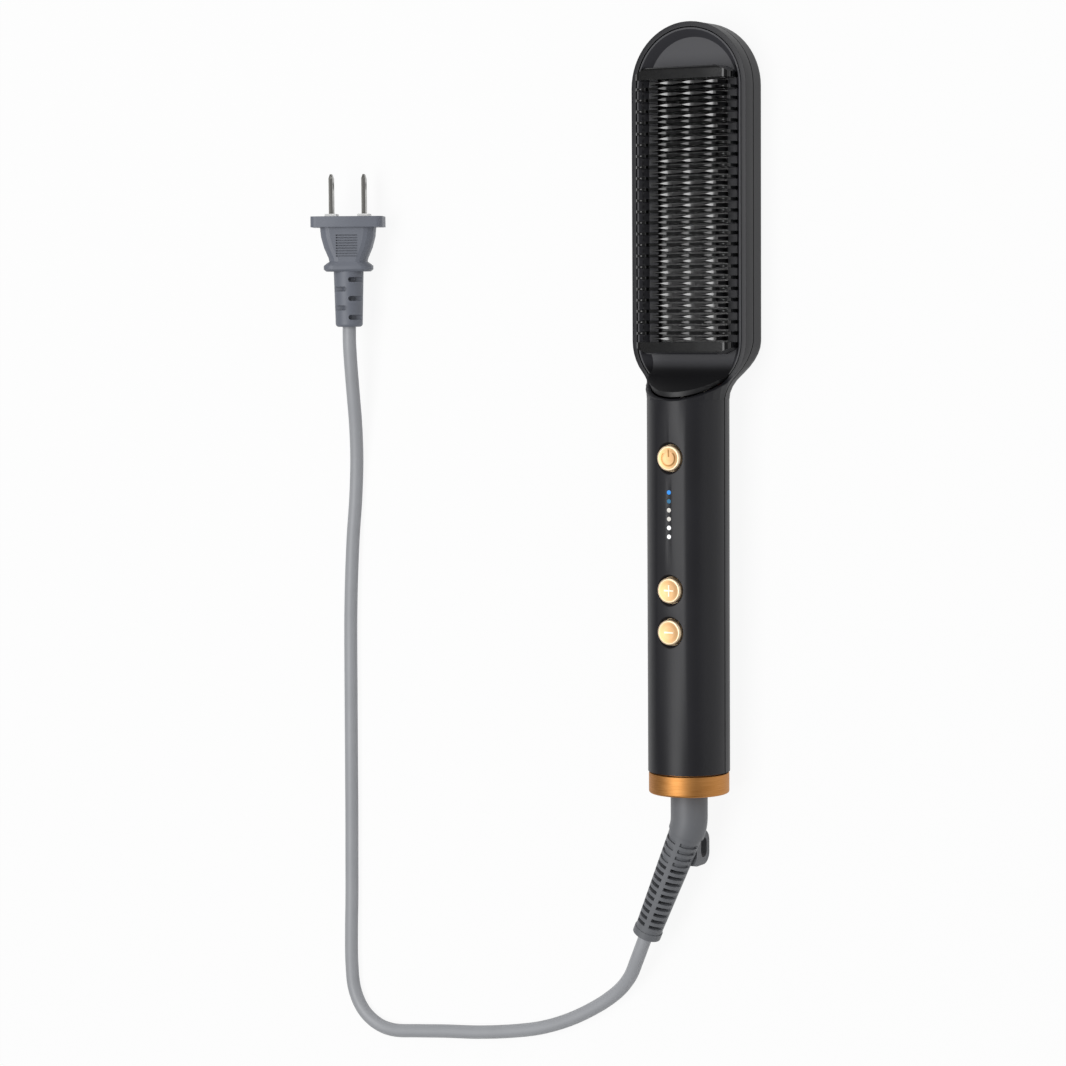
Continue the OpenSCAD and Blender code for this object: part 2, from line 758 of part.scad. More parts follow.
// A button: cap with a rounded edge, a flange inside the shell, a stem. Its
// top is dished, and a raised sign follows the dish.
cap_edge = 0.7;
dish_half_w = 3.9;
dish_deep = 0.32;
sign_h = 0.16;
sign_w = 0.45;
ball_r = (dish_half_w * dish_half_w + dish_deep * dish_deep) / (2 * dish_deep);
cap_top = ridge_z + button_rise;
ball_z = cap_top + ball_r - dish_deep;
flange_h = 1;
flange_z = axis_z + sqrt(pow(handle_r - wall, 2) - flange_r * flange_r) - 0.35 - flange_h;
stem_r = 1.5;
module button(y) {
  top = cap_top;
  r = button_d / 2;
  translate([0, y, 0]) {
    difference() {
      rotate_extrude() {
        translate([0, flange_z]) square([r, top - cap_edge - flange_z]);
        translate([0, flange_z]) square([r - cap_edge, top - flange_z]);
        translate([r - cap_edge, top - cap_edge]) circle(cap_edge);
        translate([0, flange_z]) square([flange_r, flange_h]);
        translate([0, plunger_top]) square([stem_r, flange_z + 0.5 - plunger_top]);
      }
      translate([0, 0, ball_z]) sphere(ball_r);
    }
    difference() {
      translate([0, 0, cap_top - dish_deep - 0.5]) linear_extrude(dish_deep + 0.6) children();
      translate([0, 0, ball_z]) sphere(ball_r - sign_h);
    }
  }
}
module stroke(w, h) {
  translate([-w / 2, -h / 2]) square([w, h]);
}
module power_button() color(gold) {
  button(power_y) {
    difference() {
      circle(2.65);
      circle(2.65 - sign_w);
      translate([-0.9, 0]) square([1.8, 3]);
    }
    translate([-sign_w / 2, 0.5]) square([sign_w, 2.5]);
  }
}
module plus_button() color(gold) {
  button(plus_y) {
    stroke(4.4, sign_w);
    stroke(sign_w, 4.4);
  }
}
module minus_button() color(gold) {
  button(minus_y) stroke(3.8, sign_w + 0.05);
}

// Indicator lights and the clear bar whose pins show in the handle
led_w = 1.6;
led_h = 0.8;
module indicator_leds() color("#e8ecf0") {
  for (y = dots) translate([-led_w / 2, y - led_w / 2, board_z]) cube([led_w, led_w, led_h]);
}
guide_half = 1.5;
guide_over = 0.9;
module light_guide() color("#e4ebf2") {
  top = axis_z + sqrt(pow(handle_r - wall, 2) - guide_half * guide_half) - fit;
  translate([-guide_half, dots[0] - guide_over, top - guide_half])
    cube([2 * guide_half, dots[5] - dots[0] + 2 * guide_over, guide_half]);
  for (y = dots) translate([0, y, board_z + led_h + 0.2])
    cylinder(d = dot_d, h = ridge_z - board_z - led_h - 0.25);
}

module control_chip() color("#26272b") {
  translate([2.6, dots[1] - 3, board_z]) cube([5, 6, 1.6]);
}
module triac() color("#26272b") {
  y = dots[2] - 6;
  difference() {
    translate([-5, y, board_under - 4.4]) cube([10, 9, 4.4]);
    translate([-6, y - 1, board_under - 5]) cube([12, 3, 1.2]);
  }
  difference() {
    translate([-5, y + 9 - eps, board_under - 1.3]) cube([10, 6, 1.3]);
    translate([0, y + 12, 0]) cylinder(r = 1.8, h = ridge_z);
  }
}
module capacitor() color("#c9b23a") {
  translate([-6, y_end + 60, board_under - 8]) cube([12, 14, 8]);
}

// Tail: gold collar with a spigot in the handle, and the swivel in its bore.
// These modules stand on the collar's end face, with z up into the handle.
module tail() {
  translate([0, y_end, axis_z]) rotate([-90, 0, 0]) children();
}
module ring(r, bore, z0, z1) {
  difference() {
    translate([0, 0, z0]) cylinder(r = r, h = z1 - z0);
    translate([0, 0, z0 - 1]) cylinder(r = bore, h = z1 - z0 + 2);
  }
}
collar_r = collar_d / 2;
spigot_r = handle_r - wall - fit;
spigot_l = 5;
cavity_r = 10.5;
collar_end = 2;
collar_edge = 0.8;
boot_r = boot_d / 2;
spool_z = collar_end + 0.3;
spool_t = 2;
stem_spool_r = 4;
stem_top = 18.5;
stem_bore = 2.3;
bush_z = spool_z + spool_t + 0.3;
block_z = bush_z + 4;
block_top = 17;
pocket_half = 5.6;
slip_r = 5;
slip_t = 1.6;
slip_zs = [10, 14];
module end_collar() color(gold) tail() {
  difference() {
    union() {
      rotate_extrude() {
        translate([0, collar_edge]) square([collar_r, collar_l - collar_edge]);
        square([collar_r - collar_edge, collar_l]);
        translate([collar_r - collar_edge, collar_edge]) circle(collar_edge);
      }
      translate([0, 0, 1]) cylinder(r = spigot_r, h = collar_l + spigot_l - 1);
    }
    translate([0, 0, -1]) cylinder(r = boot_r + 0.3, h = collar_l);
    translate([0, 0, collar_end]) cylinder(r = cavity_r, h = collar_l + spigot_l);
  }
}
module swivel_bush() color("#e3ded0") tail() {
  ring(cavity_r - fit, stem_spool_r + 0.2, bush_z, block_z);
}
module contact_block() color("#3c3f45") tail() {
  difference() {
    translate([0, 0, block_z]) cylinder(r = cavity_r - fit, h = block_top - block_z);
    translate([-pocket_half, -pocket_half, block_z - 1])
      cube([2 * pocket_half, 2 * pocket_half, block_top]);
  }
}
spring_t = 0.4;
spring_w = 3;
spring_half = pocket_half;
module contact_springs() color(brass) tail() {
  for (k = [0, 1]) translate([(k == 0 ? slip_r + 0.1 : -slip_r - 0.1 - spring_t), -spring_half,
    slip_zs[k] + (slip_t - spring_w) / 2]) cube([spring_t, 2 * spring_half, spring_w]);
}
mains_x = 7.5;
module mains_leads() color("#4a6fa8") {
  y0 = y_end + block_top;
  for (s = [-1, 1]) wire([[s * mains_x, y0, axis_z], [s * mains_x, y0 + 8, axis_z],
    [s * mains_x, board_y0 - 9, lead_z], [s * mains_x, board_y0, lead_z]], lead_r);
}
module swivel_spool() color("#e3ded0") tail() {
  difference() {
    union() {
      translate([0, 0, spool_z]) cylinder(r = cavity_r - 0.7, h = spool_t);
      translate([0, 0, spool_z]) cylinder(r = stem_spool_r, h = stem_top - spool_z);
    }
    translate([0, 0, spool_z + 1]) cylinder(r = stem_bore, h = stem_top);
  }
}
module slip_rings() color(brass) tail() {
  for (z = slip_zs) ring(slip_r, stem_spool_r + fit, z, z + slip_t);
}

// Boot: straight neck, bend, then a tapered part with rows of slots that leave
// four spines. It is built down its own z, and bends towards its own x.
bend_turn = 168.5;
bend_r = 14;
boot_top_d = 12.6;
boot_band = 3.6;
slot_pitch = (boot_l - boot_band - 2.4) / boot_rows;
slot_h = 1.4;
spine_w = 1.8;
spine_turn = 20;
shallow_rows = 4;
shallow = 0.8;
core_r = cord_d / 2 + 0.2;
bend_x = bend_r * (1 - cos(boot_bend));
bend_z = -boot_neck - bend_r * sin(boot_bend);
module boot_frame() {
  tail() rotate([0, 0, bend_turn]) children();
}
module boot_slots() {
  for (k = [0:boot_rows - 1]) let (
    z = -2.4 - k * slot_pitch - slot_h,
    wide = (boot_top_d + (boot_tip_d - boot_top_d) * (k + 1) / boot_rows) / 2,
    deep = k < shallow_rows ? wide - shallow : core_r) {
    translate([0, 0, z]) difference() {
      cylinder(r = boot_r + 2, h = slot_h);
      translate([0, 0, -1]) cylinder(r = deep, h = slot_h + 2);
      for (a = [0, 90]) rotate([0, 0, spine_turn + a])
        translate([-boot_d, -spine_w / 2, -1]) cube([2 * boot_d, spine_w, slot_h + 2]);
    }
  }
}
// Loop to hang the brush up: a fin under the boot, on edge towards the floor
loop_x = -2.1;
loop_y = y_end - 21.9;
loop_r = 4.4;
loop_half = 6.4;
loop_t = 3.2;
loop_z = 5.6;
loop_top = 5.6;
loop_hole_r = 2.25;
loop_hole_half = 3.7;
module loop_outline(r, half) {
  for (s = [-1, 1]) translate([0, s * (half - r)]) circle(r);
  translate([-r, r - half]) square([2 * r, 2 * (half - r)]);
}
module strain_relief() color(boot_grey) {
  difference() {
    union() {
      boot_frame() {
        translate([0, 0, -boot_neck]) cylinder(r = boot_r, h = spool_z + boot_neck);
        translate([bend_r, 0, -boot_neck]) rotate([0, 180, 0]) rotate([90, 0, 0])
          rotate_extrude(angle = boot_bend) translate([bend_r, 0]) circle(boot_r);
        translate([bend_x, 0, bend_z]) rotate([0, -boot_bend, 0]) difference() {
          union() {
            translate([0, 0, -boot_l])
              cylinder(r1 = boot_tip_d / 2, r2 = boot_top_d / 2, h = boot_l + 0.4);
            translate([0, 0, -boot_l]) cylinder(d = boot_tip_d + 0.8, h = boot_band - 1);
          }
          boot_slots();
        }
      }
      translate([loop_x, loop_y, loop_z]) rotate([0, 90, 0]) linear_extrude(loop_t) {
        loop_outline(loop_r, loop_half);
        translate([-loop_top, -loop_half]) square([loop_top, 2 * loop_half]);
      }
    }
    translate([loop_x - 1, loop_y, loop_z]) rotate([0, 90, 0]) linear_extrude(loop_t + 2)
      loop_outline(loop_hole_r, loop_hole_half);
  }
}

// Plug: built on its flange's front face, with z towards the blades. It lies
// on its side, rolled until the flange's edge touches the floor.
plug_x = -150;
plug_y = 73;
plug_roll = 28;
flange_round = 2.5;
band_l = 4.1;
plug_body_t = 12.6;
plug_body_l = 13.3;
back_l = 3.8;
sleeve_l = 21.4;
sleeve_r0 = 5.8;
sleeve_r1 = 5.25;
sleeve_round = 1.2;
sleeve_web = 1.6;
band_z = -band_l;
body_z = band_z - plug_body_l;
back_z = body_z - back_l;
plug_rear = back_z - sleeve_l;
plug_lift = (flange_w / 2 - flange_round) * sin(plug_roll)
  + (flange_t / 2 - flange_round) * cos(plug_roll) + flange_round;
module plug_frame() {
  translate([plug_x, plug_y, plug_lift]) rotate([0, plug_roll, 0]) rotate([-90, 0, 0]) children();
}
corner_steps = 4;
function rounded(w, t, r, z) = [for (c = [0:3], a = [0:corner_steps])
  let (sx = (c == 0 || c == 3) ? 1 : -1, sy = c < 2 ? 1 : -1,
       g = 90 * c + 90 * a / corner_steps)
  [sx * (w / 2 - r) + r * cos(g), sy * (t / 2 - r) + r * sin(g), z]];
module plug_body() color(plug_grey) plug_frame() {
  loft([rounded(flange_w, flange_t, flange_round, band_z),
        rounded(flange_w, flange_t, flange_round, 0)]);
  difference() {
    loft([rounded(17, 11.6, 4, back_z), rounded(18.8, 13, 4, back_z + 0.8),
          rounded(18.8, 13, 4, back_z + 2.2), rounded(16.4, 12.4, 4, back_z + 3.2),
          rounded(14.5, 12.1, 4, body_z), rounded(15, 12.2, 4, band_z - 12),
          rounded(18.5, plug_body_t, 4, band_z - 7.9),
          rounded(20.7, plug_body_t, 4, band_z - 3.8),
          rounded(21.6, plug_body_t, 4, band_z + 0.5)]);
    for (s = [-1, 1], k = [0:grip_ribs - 1])
      translate([-grip_w / 2, s * plug_body_t / 2 - grip_h, band_z - 3.4 - k * grip_pitch])
        cube([grip_w, 2 * grip_h, grip_pitch * 0.5]);
  }
  difference() {
    translate([0, 0, plug_rear]) rotate_extrude() {
      polygon([[0, 0], [sleeve_r1 - sleeve_round, 0], [sleeve_r1 - sleeve_round, sleeve_round],
               [sleeve_r1, sleeve_round], [sleeve_r0, sleeve_l + 0.5], [0, sleeve_l + 0.5]]);
      translate([sleeve_r1 - sleeve_round, sleeve_round]) circle(sleeve_round);
    }
    difference() {
      for (k = [0:4]) mirror([k % 2, 0, 0]) translate([0, sleeve_r0 + 1, back_z - 3.1 - k * 3.65])
        rotate([90, 0, 0]) linear_extrude(2 * sleeve_r0 + 2) {
          translate([1.25, 0]) circle(0.95);
          translate([1.25, -0.95]) square([sleeve_r0, 1.9]);
        }
      translate([0, 0, plug_rear - 1]) cylinder(r = core_r + 0.1, h = sleeve_l + 2);
      translate([-back_w, -sleeve_web, plug_rear - 1])
        cube([2 * back_w, 2 * sleeve_web, sleeve_l + 2]);
    }
  }
}
grip_ribs = 9;
grip_w = 8.3;
grip_h = 0.7;
grip_pitch = 1;
back_w = 18.8;

blade_hole = 1.6;
blade_hole_at = 11.7;
module plug_blades() color(brass) plug_frame() {
  w = blade_w / 2;
  for (s = [-1, 1]) translate([s * blade_pitch / 2, 0, 0]) intersection() {
    translate([-blade_t / 2, 0, 0]) rotate([90, 0, 90]) linear_extrude(blade_t) difference() {
      polygon([[-w, 0], [w, 0], [w, blade_l - 1.8], [w - 1.2, blade_l], [1.2 - w, blade_l],
               [-w, blade_l - 1.8]]);
      translate([0, blade_hole_at]) circle(blade_hole);
    }
    translate([0, w + 1, 0]) rotate([90, 0, 0]) linear_extrude(blade_w + 2)
      polygon([[-blade_t / 2, 0], [blade_t / 2, 0], [blade_t / 2, blade_l - 1.6],
               [blade_t / 2 - 0.4, blade_l], [0.4 - blade_t / 2, blade_l],
               [-blade_t / 2, blade_l - 1.6]]);
  }
}
module blade_collars() color("#f2f2f0") plug_frame() {
  for (s = [-1, 1]) translate([s * blade_pitch / 2, 0, 0]) difference() {
    translate([-2.2, -5, 0]) cube([4.4, 10, 1]);
    translate([-blade_t / 2 - fit, -blade_w / 2 - fit, -1])
      cube([blade_t + 2 * fit, blade_w + 2 * fit, 3]);
  }
}

// Cord: a tube along a route on the floor, from the boot's end to the plug
boot_x = bend_x + boot_l * sin(boot_bend);
boot_z = bend_z - boot_l * cos(boot_bend);
cord_start = [boot_x * cos(bend_turn), y_end + boot_z, axis_z - boot_x * sin(bend_turn)];
cord_way = [sin(boot_bend) * cos(bend_turn), -cos(boot_bend), -sin(boot_bend) * sin(bend_turn)];
cord_z = cord_d / 2;
cord_end = [plug_x, plug_y + plug_rear, plug_lift];
cord_floor = [
  [-58.4, -234.2], [-71.3, -239], [-85, -242], [-100, -244.2],
  [-115.2, -245.6], [-128, -247], [-139, -248], [-147, -246.4], [-153.8, -241.5], [-158, -233.5],
  [-159.2, -223], [-159.2, -210], [-158.8, -196], [-158.6, -180], [-158.4, -164], [-158.3, -148],
  [-158.2, -132], [-158.1, -116], [-158, -100], [-157.8, -84], [-157.2, -68], [-156.2, -52]
];
cord_route = concat(
  [cord_start, cord_start + 5 * cord_way, [-25.6, -206.6, 9], [-30, -213.8, 6.4],
   [-36.8, -220.8, 3.7], [-46.2, -227.6, 2.75]],
  [for (p = cord_floor) [p[0], p[1], cord_z]],
  [[-154.8, -37, cord_z], [-153.4, -22, cord_z + 1], [-152, -8, cord_z + 3.6],
   [-150.7, 6, cord_z + 7.2], [-150.1, 17, cord_z + 9.4], cord_end - [0, 6, 0], cord_end]);
cord_sides = 10;
function unit(v) = v / norm(v);
function knot(k) = k < 0 ? 2 * cord_route[0] - cord_route[1] :
  k >= len(cord_route) ? 2 * cord_route[k - 1] - cord_route[k - 2] : cord_route[k];
function curve(k, t) = let (a = knot(k - 1), b = knot(k), c = knot(k + 1), d = knot(k + 2))
  0.5 * (2 * b + (c - a) * t + (2 * a - 5 * b + 4 * c - d) * t * t
         + (3 * b - a - 3 * c + d) * t * t * t);
function slope(k, t) = let (a = knot(k - 1), b = knot(k), c = knot(k + 1), d = knot(k + 2))
  unit((c - a) + 2 * (2 * a - 5 * b + 4 * c - d) * t + 3 * (3 * b - a - 3 * c + d) * t * t);
function cord_ring(p, d) = let (s = unit(cross(d, [0, 0, 1])), u = cross(d, s))
  [for (k = [0:cord_sides - 1]) let (g = 360 * k / cord_sides)
    p + cord_d / 2 * (cos(g) * s + sin(g) * u)];
cord_last = len(cord_route) - 1;
module power_cord() color(cord_grey) {
  loft(concat(
    [for (k = [0:cord_last - 1], t = [0, 0.5]) cord_ring(curve(k, t), slope(k, t))],
    [cord_ring(cord_end, [0, 1, 0])]));
}

rear_shell();
front_shell();
comb_guard();
heated_comb();
insulating_films();
heater_electrodes();
ptc_tablets();
heater_clamp();
heat_shield();
comb_screws();
shell_screws();
thermal_fuse();
temperature_sensor();
sensor_lead();
heater_leads();
circuit_board();
board_screws();
tact_switches();
indicator_leds();
light_guide();
control_chip();
triac();
capacitor();
mains_leads();
end_collar();
swivel_bush();
contact_block();
contact_springs();
power_button();
power_plunger();
plus_button();
plus_plunger();
minus_button();
minus_plunger();
swivel_spool();
slip_rings();
strain_relief();
power_cord();
plug_body();
plug_blades();
blade_collars();
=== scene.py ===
import math

import bmesh
import bpy
from mathutils import Matrix, Vector
from mathutils.kdtree import KDTree


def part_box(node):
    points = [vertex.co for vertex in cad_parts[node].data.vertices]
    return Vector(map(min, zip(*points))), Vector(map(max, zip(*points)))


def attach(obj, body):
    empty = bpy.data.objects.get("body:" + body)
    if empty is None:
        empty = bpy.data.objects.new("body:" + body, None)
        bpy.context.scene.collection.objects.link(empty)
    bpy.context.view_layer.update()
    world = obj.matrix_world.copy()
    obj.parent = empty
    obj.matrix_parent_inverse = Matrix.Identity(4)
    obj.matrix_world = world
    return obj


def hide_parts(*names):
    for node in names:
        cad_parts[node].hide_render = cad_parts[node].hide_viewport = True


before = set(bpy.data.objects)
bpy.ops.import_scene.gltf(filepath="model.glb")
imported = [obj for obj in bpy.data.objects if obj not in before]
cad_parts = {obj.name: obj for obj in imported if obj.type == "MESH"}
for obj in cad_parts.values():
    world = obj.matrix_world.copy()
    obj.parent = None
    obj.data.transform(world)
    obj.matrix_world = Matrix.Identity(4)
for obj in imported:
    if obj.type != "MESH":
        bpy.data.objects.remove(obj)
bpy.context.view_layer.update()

MM = 0.001
AXIS_Z = 0.015  # height of the handle's centre line


# ------------------------------------------------------------------ camera
def add_camera():
    """The photograph's own view: from the front right, a little above the middle."""
    place = Vector((516.42, 40.0, 986.24)) * MM
    aim = Vector((-50.1, -44.6, 41.6)) * MM
    roll = math.radians(-0.39)
    look = (aim - place).normalized()
    right = look.cross(Vector((0, 1, 0))).normalized()
    up = right.cross(look)
    turn = Matrix((right, up, -look)).transposed() @ Matrix.Rotation(roll, 3, "Z")
    data = bpy.data.cameras.new("photo_view")
    data.sensor_width, data.lens = 36, 102.1
    data.clip_start, data.clip_end = 0.05, 200
    camera = bpy.data.objects.new("photo_view", data)
    camera.matrix_world = Matrix.Translation(place) @ turn.to_4x4()
    bpy.context.scene.collection.objects.link(camera)
    bpy.context.scene.camera = camera


add_camera()

# ------------------------------------------------------------------- cord
# Lengths and places in millimetres: out of the boot, down to the floor, round the bend and
# up again into the plug's sleeve.
CORD_D = 5.2
CORD_Z = CORD_D / 2
CORD_START = Vector((-20.241, -195.655, 10.882))
CORD_WAY = Vector((-0.42033, -0.90334, -0.08552))
CORD_END = Vector((-150.0, 30.4, 12.755))
FLOOR_RUN = [
    (-58.4, -234.2), (-71.3, -239), (-85, -242), (-100, -244.2), (-115.2, -245.6), (-128, -247),
    (-139, -248), (-147, -246.4), (-153.8, -241.5), (-158, -233.5), (-159.2, -223), (-159.2, -210),
    (-158.8, -196), (-158.6, -180), (-158.4, -164), (-158.3, -148), (-158.2, -132), (-158.1, -116),
    (-158, -100), (-157.8, -84), (-157.2, -68), (-156.2, -52), (-154.8, -37)]
CORD_ROUTE = (
    [CORD_START, CORD_START + 5 * CORD_WAY, Vector((-25.6, -206.6, 9)), Vector((-30, -213.8, 6.4)),
     Vector((-36.8, -220.8, 3.7)), Vector((-46.2, -227.6, 2.75))]
    + [Vector((x, y, CORD_Z)) for x, y in FLOOR_RUN]
    + [Vector((-153.4, -22, CORD_Z + 1)), Vector((-152, -8, CORD_Z + 3.6)),
       Vector((-150.7, 6, CORD_Z + 7.2)), Vector((-150.1, 17, CORD_Z + 9.4)),
       CORD_END - Vector((0, 6, 0)), CORD_END])


def smooth_route(knots, steps):
    """Points on one smooth line through the knots."""
    ends = [2 * knots[0] - knots[1], *knots, 2 * knots[-1] - knots[-2]]
    points = []
    for a, b, c, d in zip(ends, ends[1:], ends[2:], ends[3:]):
        for k in range(steps):
            t = k / steps
            points.append(0.5 * (2 * b + (c - a) * t + (2 * a - 5 * b + 4 * c - d) * t * t
                                 + (3 * b - a - 3 * c + d) * t ** 3))
    return points + [knots[-1]]


def add_cord():
    """The mains flex, one round cord from the boot's end to the plug."""
    points = smooth_route(CORD_ROUTE, steps=6)
    data = bpy.data.curves.new("mains_flex", "CURVE")
    data.dimensions, data.bevel_depth, data.bevel_resolution = "3D", 1.0, 6
    data.use_fill_caps = True
    line = data.splines.new("POLY")
    line.points.add(len(points) - 1)
    for spot, point in zip(line.points, points):
        spot.co, spot.radius = (*(point * MM), 1), CORD_D / 2 * MM
    line.use_smooth = True
    flex = bpy.data.objects.new("mains_flex", data)
    bpy.context.scene.collection.objects.link(flex)
    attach(flex, "cord_tail")
    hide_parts("power_cord")
    length = sum((b - a).length for a, b in zip(points, points[1:])) * MM
    return flex


mains_flex = add_cord()


# --------------------------------------------------------------- finishes
def tint(code):
    """A colour written as on screen, turned to the values that light works with."""
    parts = [int(code[i:i + 2], 16) / 255 for i in (1, 3, 5)]
    return tuple(p / 12.92 if p <= 0.04045 else ((p + 0.055) / 1.055) ** 2.4 for p in parts) + (1,)


class Level:
    """Something that varies over a finish. Sums on it add their own nodes."""

    def __init__(self, finish, socket):
        self.finish, self.socket = finish, socket

    def sum(self, operation, *values):
        return self.finish.node("ShaderNodeMath", {"operation": operation}, dict(enumerate(values)))

    def __add__(self, other):
        return self.sum("ADD", self, other)

    def __sub__(self, other):
        return self.sum("SUBTRACT", self, other)

    def __rsub__(self, other):
        return self.sum("SUBTRACT", other, self)

    def __mul__(self, other):
        return self.sum("MULTIPLY", self, other)

    __radd__, __rmul__ = __add__, __mul__

    def gap(self, other):
        """How far it is from another value."""
        return self.sum("ABSOLUTE", self - other)

    def high(self, other):
        return self.sum("MAXIMUM", self, other)

    def rise(self, start, end):
        """Smoothly from 0 at start to 1 at end."""
        if start > end:
            return 1 - self.rise(end, start)
        return self.finish.node("ShaderNodeMapRange", {"interpolation_type": "SMOOTHSTEP"},
                                {"Value": self, "From Min": start, "From Max": end})


class Finish:
    """One material of nodes, measured in metres on the object."""

    def __init__(self, name):
        self.material = bpy.data.materials.new(name)
        self.material.use_nodes = True
        self.tree = self.material.node_tree
        self.tree.nodes.clear()
        self.place = self.node("ShaderNodeTexCoord", out="Object")

    def node(self, kind, settings=None, values=None, out=0):
        made = self.tree.nodes.new(kind)
        for key, value in (settings or {}).items():
            setattr(made, key, value)
        for key, value in (values or {}).items():
            if isinstance(value, Level):
                self.tree.links.new(value.socket, made.inputs[key])
            else:
                made.inputs[key].default_value = value
        return Level(self, made.outputs[out])

    def xyz(self):
        """The place on the object along each axis."""
        return [self.node("ShaderNodeSeparateXYZ", None, {0: self.place}, out=k) for k in range(3)]

    def grain(self, size, detail, stretch=(1, 1, 1), at=None):
        """Noise whose patches are about size metres, longer along an axis by stretch."""
        scale = tuple(1 / (size * part) for part in stretch)
        spread = self.node("ShaderNodeMapping", {"vector_type": "POINT"},
                           {"Vector": at or self.place, "Scale": scale})
        return self.node("ShaderNodeTexNoise", None,
                         {"Vector": spread, "Scale": 1.0, "Detail": detail, "Roughness": 0.5})

    def specks(self, size, radius):
        """Small round spots, one in each cell of size metres."""
        far = self.node("ShaderNodeTexVoronoi", None, {"Vector": self.place, "Scale": 1 / size})
        return far.rise(radius, radius * 0.5)

    def mix(self, share, first, second):
        """The first colour, or the second where share is 1."""
        return self.node("ShaderNodeMix", {"data_type": "RGBA"},
                         {0: share, 6: first, 7: second}, out=2)

    def coat(self, colour, roughness, height, depth, fixed=None, **varied):
        """The surface itself. height is a level from 0 to 1 that stands depth metres tall.

        fixed holds constants by socket name, varied holds levels by socket name.
        """
        relief = self.node("ShaderNodeBump", None,
                           {"Strength": 1.0, "Distance": depth, "Height": height})
        sockets = {"Base Color": colour, "Roughness": roughness, "Normal": relief, **(fixed or {})}
        sockets.update({key.replace("_", " ").title(): value for key, value in varied.items()})
        self.node_end(self.node("ShaderNodeBsdfPrincipled", None, sockets))
        return self.material

    def node_end(self, shader):
        """The shader, led to the material's surface."""
        end = self.tree.nodes.new("ShaderNodeOutputMaterial")
        self.tree.links.new(shader.socket, end.inputs["Surface"])


def scaled(colour, factor):
    """A colour made darker or paler, its alpha kept at 1."""
    return tuple(min(1, factor * part) for part in colour[:3]) + (1,)


def satin_moulding(name, code, roughness):
    """Dark satin plastic: spark-eroded grain, faint flow clouds and rubbed patches."""
    f = Finish(name)
    clouds = f.grain(0.03, 3)
    fine = f.grain(0.00035, 2)
    colour = f.mix(clouds.rise(0.35, 0.7) * 0.35, tint(code), scaled(tint(code), 1.5))
    return f.coat(colour, roughness - 0.05 + 0.12 * clouds + 0.05 * fine, fine, 14e-6,
                  fixed={"Specular IOR Level": 0.34})


def ceramic_moulding(name, code):
    """Black ceramic under a gloss coat: a soft sheen, glints that wander, a few dust specks."""
    f = Finish(name)
    ripple = f.grain(0.004, 1, (2.2, 0.7, 0.7))
    clouds = f.grain(0.006, 3)
    dust = f.specks(0.0016, 0.07)
    colour = f.mix(dust * 0.15, tint(code), tint("#4a4a4f"))
    return f.coat(colour, 0.26 + 0.07 * clouds + 0.1 * dust, ripple, 20e-6,
                  fixed={"Specular IOR Level": 1.0, "Coat Weight": 1.0, "Coat Roughness": 0.05})


def guard_moulding(name):
    """The comb guard: a satin dish, with gloss on its bars, and painted shade that darkens the ramp
    at the handle.
    """
    f = Finish(name)
    x, y, z = f.xyz()
    bars = (z.rise(0.0118, 0.0135) * y.rise(0.0195, 0.0215) * y.rise(0.1250, 0.1230)
            * x.gap(0.0).rise(0.0199, 0.0194))
    # painted shade: the ramp beside the handle is coloured darker, as where it lies in shadow
    ramp = y.rise(0.0185, 0.0140)
    clouds = f.grain(0.02, 3)
    fine = f.grain(0.0004, 2)
    ripple = f.grain(0.005, 1, (2.0, 0.6, 0.6))
    satin = f.mix(clouds * 0.4, tint("#3a3a3e"), tint("#424247"))
    # the ramp's painted shade (#161618) is mixed into the satin here
    colour = f.mix(bars, f.mix(ramp, satin, tint("#161618")), tint("#0b0b0c"))
    return f.coat(colour, (0.46 + 0.08 * clouds) * (1 - bars) + (0.09 + 0.06 * clouds) * bars,
                  fine * (1 - bars) * 0.3 + ripple * bars, 30e-6)


def brushed_gold(name, bright, dark):
    """Anodised gold, brushed along fine lines round the collar."""
    f = Finish(name)
    stripes = f.grain(0.00012, 3, (60, 1, 60))
    patina = f.grain(0.008, 3)
    colour = f.mix(stripes.rise(0.3, 0.7) * 0.7 + patina * 0.3, tint(dark), tint(bright))
    return f.coat(colour, 0.42 + 0.12 * stripes + 0.06 * patina, stripes, 4e-6,
                  fixed={"Metallic": 1.0})


def key_gold(name, key, sign, ink):
    """A turned gold cap: rings of the lathe, a painted highlight that pales the rim, and a tinted
    sign.
    """
    f = Finish(name)
    x, y, z = f.xyz()
    y = y - sum(corner.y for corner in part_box(key)) / 2
    off = f.node("ShaderNodeCombineXYZ", None, {0: x, 1: y, 2: 0.0})
    reach = f.node("ShaderNodeVectorMath", {"operation": "LENGTH"}, {0: off}, out="Value")
    lathe = f.node("ShaderNodeCombineXYZ", None, {0: reach, 1: z * 0.2, 2: 0.0})
    rings = f.grain(0.00014, 3, at=lathe)
    patina = f.grain(0.004, 3)
    stroke = (0.00034, 0.00026)
    sides, ups = x.gap(0.0), y.gap(0.0)
    across = ups.rise(*stroke) * sides.rise(0.0020, 0.0018)
    upright = sides.rise(*stroke)
    open_ring = reach.gap(0.00265).rise(*stroke) * y.rise(0.0020, 0.0017)
    shown = {"minus": across,
             "plus": across.high(upright * ups.rise(0.0022, 0.0020)),
             "power": open_ring.high(upright * y.rise(0.0004, 0.0006) * y.rise(0.0034, 0.0031)),
             }[sign]
    metal = f.mix(rings.rise(0.3, 0.7) * 0.6 + patina * 0.4, tint("#d5a36b"), tint("#eac597"))
    # painted highlight: the cap's rounded rim is coloured paler, as where it catches the light
    metal = f.mix(reach.rise(0.0037, 0.0040), metal, tint("#fbe3c0"))
    return f.coat(f.mix(shown * 0.85, metal, tint(ink)), 0.40 + 0.12 * rings + 0.06 * patina,
                  rings, 4e-6, fixed={"Metallic": 0.9})


